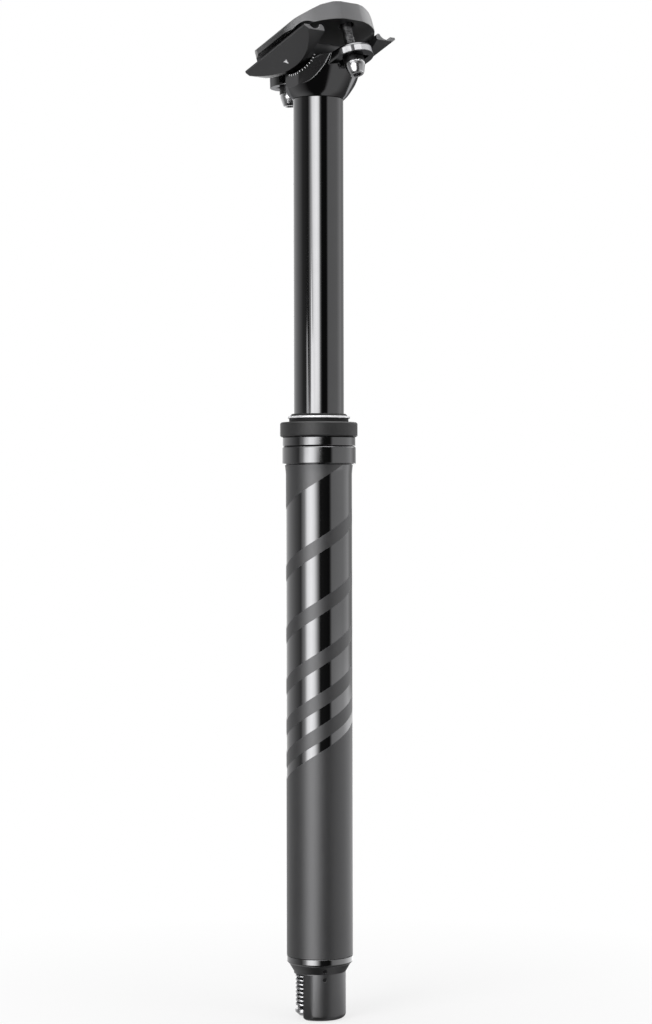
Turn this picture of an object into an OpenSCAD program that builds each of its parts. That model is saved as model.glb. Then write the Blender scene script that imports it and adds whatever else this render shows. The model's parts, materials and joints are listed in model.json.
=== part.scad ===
// Dropper seatpost: a stanchion that slides in a lower tube on a gas and oil cartridge,
// with a two-bolt saddle clamp on top and a cable-pulled release at the bottom.
// Millimetres. +X is the bicycle's front, +Y its left, +Z up along the post.
// The origin is on the post's axis, at the top of the straight tube that goes into the frame.

/* [Lower tube] */
// Outside diameter of the lower tube, which is the seat tube size
tube_d = 31.6; // [30.4:0.1:34.9]
// Wall of the lower tube
tube_wall = 1.8; // [1.5:0.1:2]
// Length that goes into the frame, from the taper to the end of the end cap's flange
insert_len = 233.2; // [226:0.2:280]
// How far the shoulder ring stands out from the tube
shoulder_step = 1.85; // [0.8:0.05:2]
// Height of the shoulder ring
shoulder_h = 8.35; // [5:0.05:12]
// How far the taper under the shoulder stands out at its top
taper_step = 0.45; // [0.2:0.05:0.8]
// Height of the taper under the shoulder
taper_h = 4.8; // [3:0.2:8]

/* [Seal head] */
// How far the lock ring stands out from the tube
lock_ring_step = 1.65; // [0.5:0.05:1.8]
// Height of the lock ring
lock_ring_h = 4.5; // [3:0.5:7]
// How far the collar nut stands out from the tube
collar_step = 2.7; // [1.8:0.1:4]
// Height of the collar nut
collar_h = 7; // [5:0.5:10]
// Height of the wiper lip above the collar nut
wiper_h = 4; // [3:0.1:6]
// Thickness of the wiper lip at its root
wiper_t = 2.2; // [1.8:0.1:2.4]
// Height of the bright ring on the wiper
wiper_ring_h = 1.1; // [0.8:0.1:1.4]
// How far the bright ring stands out from the wiper
wiper_ring_step = 0.8; // [0.3:0.1:1]

/* [Stanchion] */
// Outside diameter of the stanchion
post_d = 24; // [22.6:0.1:24]
// Wall of the stanchion
post_wall = 1.5; // [1.2:0.1:1.6]
// How far the post drops, which sets the length of stanchion that shows
travel = 150; // [100:1:155]
// Length of the upper slide bushing
upper_bushing_len = 22; // [16:1:26]
// Length of the lower slide bushing
lower_bushing_len = 24; // [16:1:28]
// Height of the top-out bumper
bumper_h = 4; // [3:0.5:6]
// Length of a guide key
key_len = 16; // [10:1:18]
// Width of a guide key
key_w = 3; // [2:0.1:4]

/* [Post head] */
// Height of the flare above the stanchion's end
flare_h = 13.4; // [12:0.2:15]
// Radius of the flare at its top
flare_r = 21.3; // [20:0.1:22]
// Half width of the head across its cheeks
cheek_half = 16; // [15:0.1:17]
// Half width of the two bolt ears
ear_half = 9.6; // [8.5:0.1:10]
// Thickness of the rear ear
rear_ear_t = 4.5; // [4:0.1:6]
// Thickness of the front ear
front_ear_t = 6.3; // [4:0.1:6.6]
// Length of the spigot that is bonded into the stanchion
spigot_len = 22; // [18:1:26]

/* [Saddle clamp] */
// Nose-down angle of the saddle rails against the post
rail_tilt = 20; // [18:0.5:22]
// Height of the rails' centre line above the stanchion's end, on the post's axis
rail_h = 22.8; // [22.4:0.1:23.2]
// Diameter of a saddle rail
rail_d = 7; // [7:0.1:7.4]
// Distance between the two rails' centre lines
rail_spacing = 44; // [43:0.5:46]
// Most that the clamp tilts nose-up from rest, in degrees
tilt_up = 12; // [6:1:12]
// Most that the clamp tilts nose-down from rest, in degrees
tilt_down = 4; // [2:1:4]
// Height of the tilt axis above the stanchion's end
tilt_axis_h = 24.6; // [24.4:0.1:24.8]
// Radius of the trough that the cradle turns in
trough_r = 13.9; // [13.7:0.1:14.1]
// Length of the cradle along the rails
cradle_len = 47.2; // [44:0.2:50]
// Width of the cradle across its outer lips
cradle_w = 56; // [55:0.5:60]
// Slope of the cradle's flat flanks, in degrees from the rails' plane
flank_angle = 33.4; // [30:0.2:37]
// Radius of the cradle's curved keel, seen from the side
keel_r = 51; // [45:1:60]
// Depth of the keel under the rails' centre line
keel_depth = 9.9; // [9.4:0.1:10.4]
// Gap between the clamp's lips on the outside of a rail
lip_gap = 3.6; // [3:0.1:4.4]
// Length of the upper clamp along the rails
clamp_len = 55; // [54.6:0.2:58]
// Width of the upper clamp
clamp_w = 54; // [53:0.5:56]
// Radius that rounds the upper clamp's front end, seen from above
clamp_front_r = 30; // [29.5:0.1:31]
// Radius that rounds the upper clamp's rear end, seen from above
clamp_rear_r = 28; // [27.8:0.1:30]
// Height of the upper clamp's top over the rails' centre line
clamp_top = 11; // [10.9:0.1:12]

/* [Clamp bolts] */
// Thread diameter of the clamp bolts
bolt_d = 4.8; // [4.6:0.1:5]
// Diameter of a bolt's head
bolt_head_d = 9.4; // [8.5:0.1:9.8]
// Height of a bolt's head
bolt_head_h = 6; // [5:0.1:6]
// Across-corners size of the hexagon socket
bolt_socket_d = 4.6; // [4:0.1:5]
// Radius of the washer's round back
washer_r = 7; // [6.8:0.1:7.2]
// Diameter of the washer
washer_d = 10; // [9.6:0.1:10.4]
// Diameter of a barrel nut
nut_d = 7.6; // [7.4:0.1:7.8]
// Length of a barrel nut
nut_len = 14; // [12:0.5:16]
// Distance of each barrel nut from the upper clamp's end, along the rails
nut_inset = 5.8; // [5.4:0.1:6.2]
// Height of the barrel nuts above the rails' centre line
nut_h = 7; // [6.9:0.1:7.1]
// Lean of the rear bolt from the post's axis, in degrees
rear_lean = 18.84; // [18.4:0.02:19.2]
// Distance of the rear bolt's swivel axis from its nut
rear_reach = 27.6; // [27.2:0.1:28]
// Lean of the front bolt from the post's axis, in degrees
front_lean = 2.26; // [2:0.02:2.5]
// Distance of the front bolt's swivel axis from its nut
front_reach = 20; // [19.6:0.1:20.4]
// How far each bolt's end stands past its nut: rear
rear_bolt_tip = 3.4; // [3:0.1:6]
// How far each bolt's end stands past its nut: front
front_bolt_tip = 5.4; // [4:0.1:7]

/* [Release mechanism] */
// Diameter of the actuator housing
actuator_d = 24.8; // [24:0.1:26]
// Length of the actuator housing below the end cap
actuator_len = 26.3; // [26:0.1:28]
// Height of the housing's cone
actuator_cone_h = 4; // [4:0.2:7]
// Direction of the spring window round the post, in degrees from the front
window_turn = 60; // [0:5:90]
// Width of the spring window
window_w = 15.6; // [12:0.2:16]
// Distance of the window's top below the end cap
window_drop = 4.8; // [4.4:0.1:6]
// Wire diameter of the return spring
spring_wire = 1.2; // [1:0.1:1.3]
// Mean radius of the return spring's coils
spring_r = 3.5; // [3.2:0.1:3.5]
// Turns of the return spring
spring_turns = 8; // [6:0.5:9]
// Length of the return spring
spring_len = 17; // [16:0.1:17.4]
// Distance of the return spring's centre line from the post's axis
spring_reach = 7.8; // [7.8:0.1:8]
// Radius of the plunger's stem
stem_r = 2.5; // [2:0.1:3]
// Distance of the lever's pin from the post's axis
pin_reach = 3.2; // [3:0.1:3.6]
// Distance of the cable barrel from the post's axis
barrel_reach = 8.4; // [8.2:0.1:8.6]
// Height of the lever's pin above the housing's end
lever_h = 9.8; // [9.6:0.1:10.4]
// Diameter of the lever's pin
pin_d = 2.4; // [2:0.1:2.6]
// Diameter of the cable barrel
barrel_d = 4; // [3.6:0.1:4.2]
// Thickness of the lever
lever_t = 4; // [3:0.2:5]
// Most that the lever turns, in degrees
lever_swing = 18; // [12:1:18]
// Diameter of the cable housing's socket
socket_d = 5.2; // [5:0.1:5.6]

/* [Cartridge] */
// Outside diameter of the cartridge
cartridge_d = 17.6; // [17:0.1:18]
// Wall of the cartridge's two tubes
cartridge_wall = 0.9; // [0.7:0.1:1]
// Bore of the cartridge's inner tube
inner_bore_d = 10; // [9.6:0.1:10.4]
// Diameter of the piston rod
rod_d = 6; // [5:0.1:6.4]
// Height of the cartridge's top above the stanchion's lower end
cartridge_rise = 46; // [40:1:48]
// Length of the floating piston
floating_len = 10; // [8:1:14]

/* [Clearances] */
// Radial clearance of a running fit
run_gap = 0.06; // [0.03:0.01:0.1]
// Gap between bodies that move past each other
move_gap = 0.3; // [0.3:0.05:0.5]
// Gap in a bonded or screwed joint
bond_gap = 0.05; // [0.02:0.01:0.1]
// Clearance of a bolt in its barrel nut, which takes up the swing
nut_gap = 0.5; // [0.45:0.05:0.6]

/* [Hidden] */
$fn = 96;

// Lower tube and seal head
tube_r = tube_d / 2;
bore_r = tube_r - tube_wall;
neck_r = tube_r - 0.6;
shoulder_z = taper_h;
shoulder_top = shoulder_z + shoulder_h;
lock_z = shoulder_top + bond_gap;
collar_z = lock_z + lock_ring_h;
collar_top = collar_z + collar_h;
wiper_top = collar_top + wiper_h;
neck_top = collar_z + collar_h * 0.5;
flange_h = 3.6;
tube_end = -insert_len + flange_h;
key_count = 3;
key_groove_depth = 0.7;

// Stanchion and what rides on it
post_r = post_d / 2;
post_bore_r = post_r - post_wall;
head_z = wiper_top + travel + move_gap;
upper_bushing_top = shoulder_top - 2;
upper_bushing_end = upper_bushing_top - upper_bushing_len;
bumper_top = upper_bushing_end - move_gap;
lower_bushing_top = bumper_top - bumper_h;
lower_bushing_end = lower_bushing_top - lower_bushing_len;
key_top = lower_bushing_end - 1;
post_tail = 6;
post_end = key_top - key_len - post_tail;

// Saddle clamp: the tilt axis and the nuts, in the clamp's own frame and in the post's
rail_z = head_z + rail_h;
tilt_z = head_z + tilt_axis_h;
rail_r = rail_d / 2 + 0.05;
rail_y = rail_spacing / 2;
clamp_back = 0.9;
axis_in_clamp = [
    -(tilt_z - rail_z) * sin(rail_tilt) + clamp_back,
    (tilt_z - rail_z) * cos(rail_tilt)
];
cradle_r = trough_r - move_gap;
function in_post(x, z) = [
    x * cos(rail_tilt) + z * sin(rail_tilt),
    rail_z - x * sin(rail_tilt) + z * cos(rail_tilt)
];
nut_reach = clamp_len / 2 - nut_inset;
rear_nut_at = in_post(-clamp_back - nut_reach, nut_h);
front_nut_at = in_post(-clamp_back + nut_reach, nut_h);
rear_swivel = rear_nut_at - rear_reach * [sin(rear_lean), cos(rear_lean)];
front_swivel = front_nut_at - front_reach * [sin(front_lean), cos(front_lean)];
bolt_r = bolt_d / 2;
washer_seat = 3;
rear_ear_seat = washer_seat + 2;
front_ear_seat = washer_seat + 3.2;
// Swing of each bolt, in degrees per degree of tilt, which keeps it in line with its nut
rear_swing = 0.171;
front_swing = 0;
mid_tilt = (tilt_down - tilt_up) / 2;
half_tilt = (tilt_down + tilt_up) / 2;

// Release mechanism, from the end cap down
actuator_top = -insert_len;
actuator_end = actuator_top - actuator_len;
actuator_r = actuator_d / 2;
lever_z = actuator_end + lever_h;
lever_bar_r = pin_d / 2 + 0.8;
lift = pin_reach * sin(lever_swing);
spring_top = actuator_top - window_drop;
spring_low = spring_top - spring_len;
socket_web = 1;
socket_lead = 0.4;

// Cartridge
cartridge_r = cartridge_d / 2;
inner_r = inner_bore_d / 2;
rod_r = rod_d / 2;
cap_spigot = 8;
cap_top = tube_end + cap_spigot;
cartridge_sink = 5;
cartridge_seat = cap_top - cartridge_sink;
cartridge_top = post_end + cartridge_rise;
gland_h = 10;
piston_h = 8;
piston_z = cartridge_top - gland_h - 6 - piston_h;
rod_floor = 8;
rod_seat = head_z - spigot_len + rod_floor;
rod_end = rod_seat + 6;

// Shared shapes
module turned(points) {
    rotate_extrude() polygon(points);
}

module ring(r_out, r_in, low, high) {
    turned([[r_in, low], [r_out, low], [r_out, high], [r_in, high]]);
}

// Ring with its two outer edges bevelled
module bevelled_ring(r_out, r_in, low, high, bevel) {
    turned([
        [r_in, low], [r_out - bevel, low], [r_out, low + bevel],
        [r_out, high - bevel], [r_out - bevel, high], [r_in, high]
    ]);
}

// Cylinder across the post, along Y, about the axis at x, z
module across(x, z, r, len) {
    translate([x, 0, z]) rotate([90, 0, 0]) cylinder(r = r, h = len, center = true);
}

module around(count) {
    for (i = [0 : count - 1]) rotate(i * 360 / count) children();
}

module in_clamp() {
    translate([0, 0, rail_z]) rotate([0, rail_tilt, 0]) translate([-clamp_back, 0, 0]) children();
}

module in_bolt(swivel, angle) {
    translate([swivel[0], 0, swivel[1]]) rotate([0, angle, 0]) children();
}

module in_actuator() {
    rotate(window_turn) children();
}

// Lower tube
module outer_tube() {
    bevel = 0.5;
    line = 0.3;
    shoulder_r = tube_r + shoulder_step;
    groove_w = key_w + 2 * run_gap;
    groove_len = upper_bushing_end - 1 - tube_end;
    color("#2b2b2d") difference() {
        turned([
            [bore_r, tube_end], [tube_r, tube_end], [tube_r, 0],
            [tube_r + taper_step, shoulder_z - line], [tube_r, shoulder_z - line],
            [tube_r, shoulder_z], [shoulder_r - line, shoulder_z], [shoulder_r, shoulder_z + line],
            [shoulder_r, shoulder_top - bevel], [shoulder_r - bevel, shoulder_top],
            [neck_r, shoulder_top], [neck_r, neck_top], [bore_r, neck_top]
        ]);
        around(key_count) translate([bore_r - 1, -groove_w / 2, tube_end - 1])
            cube([1 + key_groove_depth, groove_w, groove_len + 1]);
    }
}

module lock_ring() {
    bevel = 0.35;
    color("#141416")
        bevelled_ring(tube_r + lock_ring_step, neck_r + bond_gap, lock_z, collar_z, bevel);
}

wiper_r = post_r + wiper_t;
wiper_flange_r = neck_r - 0.2;
wiper_flange_top = neck_top + 1.6;
wiper_ring_top = wiper_top - 1.1;
wiper_ring_seat = 0.4;

module collar_nut() {
    bevel = 0.6;
    r = tube_r + collar_step;
    step_z = wiper_flange_top + bond_gap;
    color("#1d1d1f") turned([
        [neck_r + bond_gap, collar_z], [r - bevel, collar_z], [r, collar_z + bevel],
        [r, collar_top - bevel], [r - bevel, collar_top], [wiper_r + bond_gap, collar_top],
        [wiper_r + bond_gap, step_z], [neck_r + bond_gap, step_z]
    ]);
}

module wiper_seal() {
    lip_r = post_r + run_gap;
    relief = 0.6;
    lip_t = 0.9;
    groove_r = wiper_r - wiper_ring_seat;
    color("#101011") turned([
        [lip_r + relief, neck_top], [wiper_flange_r, neck_top], [wiper_flange_r, wiper_flange_top],
        [wiper_r, wiper_flange_top], [wiper_r, wiper_ring_top - wiper_ring_h],
        [groove_r, wiper_ring_top - wiper_ring_h], [groove_r, wiper_ring_top],
        [wiper_r, wiper_ring_top], [wiper_r - relief, wiper_ring_top + relief / 2],
        [lip_r + lip_t, wiper_top], [lip_r, wiper_top], [lip_r, wiper_top - 1.2],
        [lip_r + relief, wiper_top - 2]
    ]);
}

module wiper_ring() {
    color("#d8d8da") bevelled_ring(wiper_r + wiper_ring_step, wiper_r - wiper_ring_seat + bond_gap,
        wiper_ring_top - wiper_ring_h + bond_gap, wiper_ring_top - bond_gap, 0.2);
}

// Slide bushing, split down one side
module bushing(r_out, r_in, low, high) {
    split_w = 0.6;
    difference() {
        ring(r_out, r_in, low, high);
        translate([0, -split_w / 2, low - 1]) cube([r_out + 1, split_w, high - low + 2]);
    }
}

module upper_bushing() {
    color("#6f6a5a") bushing(bore_r - bond_gap, post_r + run_gap, upper_bushing_end, upper_bushing_top);
}

module end_cap() {
    bevel = 0.8;
    spigot_r = bore_r - bond_gap;
    color("#161618") turned([
        [stem_r + run_gap, -insert_len], [tube_r - bevel, -insert_len], [tube_r, -insert_len + bevel],
        [tube_r, tube_end], [spigot_r, tube_end], [spigot_r, cap_top],
        [cartridge_r + bond_gap, cap_top], [cartridge_r + bond_gap, cartridge_seat],
        [stem_r + run_gap, cartridge_seat]
    ]);
}

// Release mechanism
lever_boss_r = barrel_d / 2 + 1;
lever_drop = (barrel_reach - pin_reach) * sin(lever_swing);
housing_floor = lever_z - lever_boss_r - lever_drop - 2 * move_gap;
cross_low = lever_z + lever_bar_r + move_gap;
cross_top = cross_low + 1.2;
strap_x = lever_bar_r + 2 * move_gap - 0.2;
strap_t = 1;
foot_t = 1.4;

module actuator_housing() {
    round_r = 2.5;
    cone_r = tube_r - 1;
    flat_turn = 50.4;
    flat_at = actuator_r - 0.38;
    slot_w = lever_t + 2 * move_gap;
    slot_top = lever_z + lever_boss_r + 2 * move_gap;
    cross_room = stem_r + move_gap;
    window_from = strap_x - 2 * move_gap;
    color("#3a3b3d") difference() {
        turned([
            [0, actuator_top], [cone_r, actuator_top], [actuator_r, actuator_top - actuator_cone_h],
            [actuator_r, actuator_end + round_r],
            for (a = [15 : 15 : 75]) [
                actuator_r - round_r * (1 - cos(a)),
                actuator_end + round_r * (1 - sin(a))
            ],
            [actuator_r - round_r, actuator_end], [0, actuator_end]
        ]);
        translate([0, 0, cross_low])
            cylinder(r = stem_r + run_gap, h = actuator_top - cross_low + 1);
        in_actuator() {
            translate([window_from, -window_w / 2, actuator_end - 1])
                cube([actuator_d, window_w, spring_top - actuator_end + 1]);
            translate([-cross_room, -cross_room, cross_low - move_gap])
                cube([2 * cross_room, 2 * cross_room, cross_top - cross_low + lift + 2 * move_gap]);
            translate([-actuator_d, -slot_w / 2, housing_floor])
                cube([actuator_d + pin_reach, slot_w, slot_top - housing_floor]);
            pin_shape(bond_gap);
            translate([-barrel_reach, 0, actuator_end - 1])
                cylinder(d = socket_d, h = housing_floor - socket_web - actuator_end + 1);
            translate([-barrel_reach, 0, actuator_end])
                cylinder(d1 = socket_d + 2 * socket_lead, d2 = socket_d, h = socket_lead);
            translate([-barrel_reach, 0, actuator_end])
                cylinder(d = socket_d / 2, h = housing_floor - actuator_end + 1);
            for (side = [-1, 1]) rotate(side * flat_turn)
                translate([flat_at, -actuator_r, actuator_end - 1])
                    cube([actuator_r, actuator_d, spring_top - actuator_end + 1]);
            screw_holes(bond_gap);
        }
    }
}

// Two small grub screws, one above the other on the housing's near side
screw_turn = 90.5;
screw_r = 0.9;
screw_len = 1.4;
screw_drops = [2.4, 6.6];
module screw_holes(gap) {
    rotate(screw_turn) for (drop = screw_drops)
        translate([actuator_r - screw_len - gap, 0, actuator_top - drop]) rotate([0, 90, 0])
            cylinder(r = screw_r + gap, h = screw_len + actuator_cone_h);
}

module housing_screws() {
    sunk = 0.4;
    color("#0c0c0d") in_actuator() intersection() {
        screw_holes(0);
        translate([0, 0, actuator_end]) cylinder(r = actuator_r - sunk, h = actuator_len);
    }
}

// Pin across the housing, put in from the far side
module pin_shape(gap) {
    near_end = 8;
    far_end = actuator_r - 1.4;
    translate([-pin_reach, near_end + gap, lever_z]) rotate([90, 0, 0])
        cylinder(r = pin_d / 2 + gap, h = near_end + far_end + gap * 40);
}

module lever_pin() {
    color("#a9abad") in_actuator() pin_shape(0);
}

module actuator_lever() {
    web_h = 2.6;
    color("#8d8f92") in_actuator() difference() {
        union() {
            across(-pin_reach, lever_z, lever_bar_r, lever_t);
            across(0, lever_z, lever_bar_r, lever_t);
            across(-barrel_reach, lever_z, lever_boss_r, lever_t);
            translate([-barrel_reach, -lever_t / 2, lever_z - web_h / 2])
                cube([barrel_reach, lever_t, web_h]);
        }
        across(-pin_reach, lever_z, pin_d / 2 + run_gap, lever_t + 2);
        across(-barrel_reach, lever_z, barrel_d / 2 + bond_gap, lever_t + 2);
    }
}

module cable_barrel() {
    wire_r = 0.7;
    color("#c9a94f") in_actuator() difference() {
        across(-barrel_reach, lever_z, barrel_d / 2, lever_t);
        translate([-barrel_reach, 0, lever_z - barrel_d]) cylinder(r = wire_r, h = 2 * barrel_d);
    }
}

// Plunger: the stem that opens the valve, and a strap down to the foot under the return spring
module release_plunger() {
    stem_top = cartridge_seat + cartridge_foot + 3;
    strap_half = stem_r;
    foot_r = spring_r + spring_wire / 2;
    foot_low_r = foot_r / 2;
    cone_h = 1.8;
    color("#b4b6b8") in_actuator() {
        translate([0, 0, cross_low]) cylinder(r = stem_r, h = stem_top - cross_low);
        translate([-stem_r, -strap_half, cross_low])
            cube([strap_x + strap_t + stem_r, 2 * strap_half, cross_top - cross_low]);
        translate([strap_x, -strap_half, spring_low - foot_t])
            cube([strap_t, 2 * strap_half, cross_top - spring_low + foot_t]);
        translate([strap_x, -strap_half, spring_low - foot_t])
            cube([spring_reach - strap_x, 2 * strap_half, foot_t]);
        translate([spring_reach, 0, spring_low - foot_t]) {
            cylinder(r = foot_r, h = foot_t);
            translate([0, 0, -cone_h]) cylinder(r1 = foot_low_r, r2 = foot_r, h = cone_h);
        }
    }
}

// Return spring: points along the wire, with a straight wire diameter at each end
rings_per_turn = 8;
wire_sides = 6;
spring_rise = spring_len - spring_wire - 2 * bond_gap;
function spring_at(turn) = [
    spring_reach + spring_r * cos(360 * turn),
    spring_r * sin(360 * turn),
    spring_low + bond_gap + spring_wire / 2 + spring_rise * turn / spring_turns
];
function spring_way(turn) = [-sin(360 * turn), cos(360 * turn), 0];
spring_line = [
    spring_at(0) - spring_wire * spring_way(0),
    for (i = [0 : spring_turns * rings_per_turn]) spring_at(i / rings_per_turn),
    spring_at(spring_turns) + spring_wire * spring_way(spring_turns)
];
ring_total = len(spring_line);
function spring_out(i) =
    let (turn = min(max(i - 1, 0), ring_total - 3) / rings_per_turn)
    [cos(360 * turn), sin(360 * turn), 0];
spring_points = [
    for (i = [0 : ring_total - 1]) for (k = [0 : wire_sides - 1])
        let (a = 360 * k / wire_sides)
        spring_line[i] + spring_wire / 2 * (cos(a) * spring_out(i) + sin(a) * [0, 0, 1])
];
spring_faces = [
    for (k = [1 : wire_sides - 2]) [0, k + 1, k],
    for (i = [0 : ring_total - 2]) for (k = [0 : wire_sides - 1])
        let (a = i * wire_sides, b = a + wire_sides, n = (k + 1) % wire_sides)
        each [[a + k, a + n, b + n], [a + k, b + n, b + k]],
    for (k = [1 : wire_sides - 2])
        let (last = (ring_total - 1) * wire_sides)
        [last, last + k, last + k + 1]
];
spring_gap = min([
    for (i = [0 : ring_total - 1]) for (j = [i + rings_per_turn / 2 : 1 : ring_total - 1])
        norm(spring_line[i] - spring_line[j]) - spring_wire
]);
echo("Least gap between the spring's turns, mm", spring_gap);

module return_spring() {
    color("#c4c6c8") in_actuator() polyhedron(spring_points, spring_faces);
}

// Cartridge
cartridge_foot = 6;
floating_h = 20;
body_bore_r = cartridge_r - cartridge_wall;
inner_tube_r = inner_r + cartridge_wall;
gland_z = cartridge_top - gland_h;

module cartridge_body() {
    foot_top = cartridge_seat + cartridge_foot;
    color("#7d7f82") turned([
        [stem_r + run_gap, cartridge_seat], [cartridge_r, cartridge_seat], [cartridge_r, cartridge_top],
        [body_bore_r, cartridge_top], [body_bore_r, foot_top], [stem_r + run_gap, foot_top]
    ]);
}

module cartridge_tube() {
    color("#9a9c9f") ring(inner_tube_r, inner_r, cartridge_seat + cartridge_foot, gland_z);
}

module rod_gland() {
    color("#b08d3c") ring(body_bore_r - bond_gap, rod_r + run_gap, gland_z, cartridge_top);
}

module floating_piston() {
    rest_z = cartridge_seat + cartridge_foot + floating_h;
    color("#b98b35")
        ring(body_bore_r - run_gap, inner_tube_r + run_gap, rest_z, rest_z + floating_len);
}

// Stanchion and what rides on it
key_seat = 0.8;

module stanchion() {
    slot_w = key_w + 2 * bond_gap;
    color("#0f0f11") difference() {
        ring(post_r, post_bore_r, post_end, head_z);
        around(key_count)
            translate([post_r - key_seat - bond_gap, -slot_w / 2, key_top - key_len - bond_gap])
                cube([post_wall, slot_w, key_len + 2 * bond_gap]);
    }
}

module lower_bushing() {
    color("#6f6a5a") bushing(bore_r - run_gap, post_r + bond_gap, lower_bushing_end, lower_bushing_top);
}

module guide_keys() {
    key_r = bore_r + key_groove_depth - move_gap;
    color("#c29a3e") around(key_count) translate([post_r - key_seat, -key_w / 2, key_top - key_len])
        cube([key_r - post_r + key_seat, key_w, key_len]);
}

module top_out_bumper() {
    color("#202022") ring(bore_r - move_gap, post_r + bond_gap, lower_bushing_top, bumper_top);
}

module piston_rod() {
    screw_len = 14;
    color("#cfd1d3") difference() {
        translate([0, 0, piston_z + piston_h]) cylinder(r = rod_r, h = rod_end - piston_z - piston_h);
        translate([0, 0, rod_end - screw_len]) cylinder(r = rod_screw_r + bond_gap, h = screw_len + 1);
    }
}

module piston() {
    color("#b98b35") bevelled_ring(inner_r - run_gap, 1.2, piston_z, piston_z + piston_h, 0.3);
}

rod_screw_r = 2;
rod_screw_head_r = 4.2;
rod_web = 4;
rod_screw_seat = rod_end + rod_web;

module rod_bolt() {
    shank_len = 12;
    head_h = 4;
    color("#a9abad") difference() {
        union() {
            translate([0, 0, rod_screw_seat]) cylinder(r = rod_screw_head_r, h = head_h);
            translate([0, 0, rod_end - shank_len])
                cylinder(r = rod_screw_r, h = shank_len + rod_web + head_h / 2);
        }
        translate([0, 0, rod_screw_seat + head_h / 2]) cylinder(r = rod_screw_r, h = head_h, $fn = 6);
    }
}

// Post head
head_top = head_z + flare_h + 5;
head_step = 0.5;
brim_step = 2.2;
flare_steps = 8;
flare_curve = 0.8;
cheek_front = 5;
cheek_rear = -5;
rear_end = rear_swivel[0] + ear_half / 2;
waist_x = rear_end + 5;
waist_half = ear_half + 1.6;
waist_in = 3;
front_end = front_swivel[0] - ear_half;
function flare_at(t) = post_r + head_step + (flare_r - post_r - head_step) * pow(t, flare_curve);

// Outline of the head seen from above: full width at the cheeks, narrowing to each ear
module head_outline() {
    polygon([
        [cheek_front, cheek_half], [cheek_rear, cheek_half], [waist_x, waist_half],
        [rear_end, ear_half], [rear_end, -ear_half], [waist_x, -waist_half],
        [cheek_rear, -cheek_half], [cheek_front, -cheek_half],
        [front_end, -ear_half], [front_end, ear_half]
    ]);
}

// Ear under a bolt, square to the bolt, with an arm that runs into the head
module ear(swivel, angle, seat, thick, inward, arm_half) {
    arm = 16;
    in_bolt(swivel, angle) translate([0, 0, seat]) {
        cylinder(r = ear_half, h = thick);
        translate([inward > 0 ? 0 : -arm, -arm_half, 0]) cube([arm, 2 * arm_half, thick]);
    }
}

// Room in an ear for the bolt's swing and for the washer's round back
module bolt_room(swivel, angle, ratio) {
    hole_len = 30;
    in_bolt(swivel, angle + ratio * mid_tilt) cylinder(r = bolt_r + 2 * move_gap, h = hole_len);
    in_bolt(swivel, angle) across(0, 0, washer_r + move_gap, washer_d + 4 * move_gap);
}

module post_head() {
    color("#1a1a1c") difference() {
        union() {
            intersection() {
                turned([
                    [0, head_z],
                    for (i = [0 : flare_steps])
                        [flare_at(i / flare_steps), head_z + flare_h * i / flare_steps],
                    [flare_r + brim_step, head_top], [0, head_top]
                ]);
                translate([0, 0, head_z]) linear_extrude(head_top - head_z) head_outline();
            }
            translate([0, 0, head_z - spigot_len])
                cylinder(r = post_bore_r - bond_gap, h = spigot_len + 1);
            ear(rear_swivel, rear_lean, rear_ear_seat, rear_ear_t, 1, ear_half);
            ear(front_swivel, front_lean, front_ear_seat, front_ear_t, -1, ear_half - waist_in);
        }
        across(0, tilt_z, trough_r, 4 * cheek_half);
        bolt_room(rear_swivel, rear_lean, rear_swing);
        bolt_room(front_swivel, front_lean, front_swing);
        translate([0, 0, head_z - spigot_len - 1])
            cylinder(r = rod_r + bond_gap, h = rod_end - head_z + spigot_len + 1);
        translate([0, 0, rod_end - 1]) cylinder(r = rod_screw_r + bond_gap, h = rod_web + 2);
        translate([0, 0, rod_screw_seat])
            cylinder(r = rod_screw_head_r + move_gap, h = head_top - rod_screw_seat);
    }
}

// Saddle clamp, in a frame with X along the rails and Z square to them
module along_rails(len) {
    rotate([90, 0, 90]) linear_extrude(len, center = true) children();
}

module rails() {
    for (side = [-1, 1]) translate([0, side * rail_y, 0]) rotate([0, 90, 0])
        cylinder(r = rail_r, h = 2 * clamp_len, center = true);
}

module lower_cradle() {
    half = cradle_w / 2;
    lip_z = lip_gap / 2;
    lip_side = 1;
    horn_z = 0.9;
    horn_y = rail_y - rail_r;
    floor_z = 3.8;
    floor_y = 13.5;
    keel_z = keel_depth + 1;
    keel_y = half - (keel_z - lip_z - lip_side) / tan(flank_angle);
    block_half = 14.5;
    side_y = cheek_half + move_gap;
    right_side = [
        [half, -lip_z], [half, -lip_z - lip_side], [keel_y, -keel_z]
    ];
    right_top = [[floor_y, -floor_z], [horn_y - 1, -horn_z], [rail_y, -horn_z], [rail_y, -lip_z]];
    color("#222224") in_clamp() difference() {
        intersection() {
            along_rails(cradle_len) polygon([
                each right_side,
                for (i = [2 : -1 : 0]) [-right_side[i][0], right_side[i][1]],
                for (i = [3 : -1 : 0]) [-right_top[i][0], right_top[i][1]],
                each right_top
            ]);
            across(0, keel_r - keel_depth, keel_r, 2 * cradle_w);
        }
        difference() {
            translate([-cradle_len, -side_y, -2 * keel_z])
                cube([2 * cradle_len, 2 * side_y, 4 * keel_z]);
            across(axis_in_clamp[0], axis_in_clamp[1], cradle_r, 2 * cradle_w);
        }
        for (end = [-1, 1]) translate([end * (block_half + cradle_len / 2), 0, 0])
            cube([cradle_len, 2 * side_y, 4 * keel_z], center = true);
        rails();
    }
}

// Outline of the upper clamp seen from above, straight at its sides and rounder at the rear
module clamp_outline() {
    intersection() {
        square([clamp_len, clamp_w], center = true);
        circle(r = clamp_front_r);
        union() {
            circle(r = clamp_rear_r);
            translate([0, -clamp_w]) square([clamp_len, 2 * clamp_w]);
        }
    }
}

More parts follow.
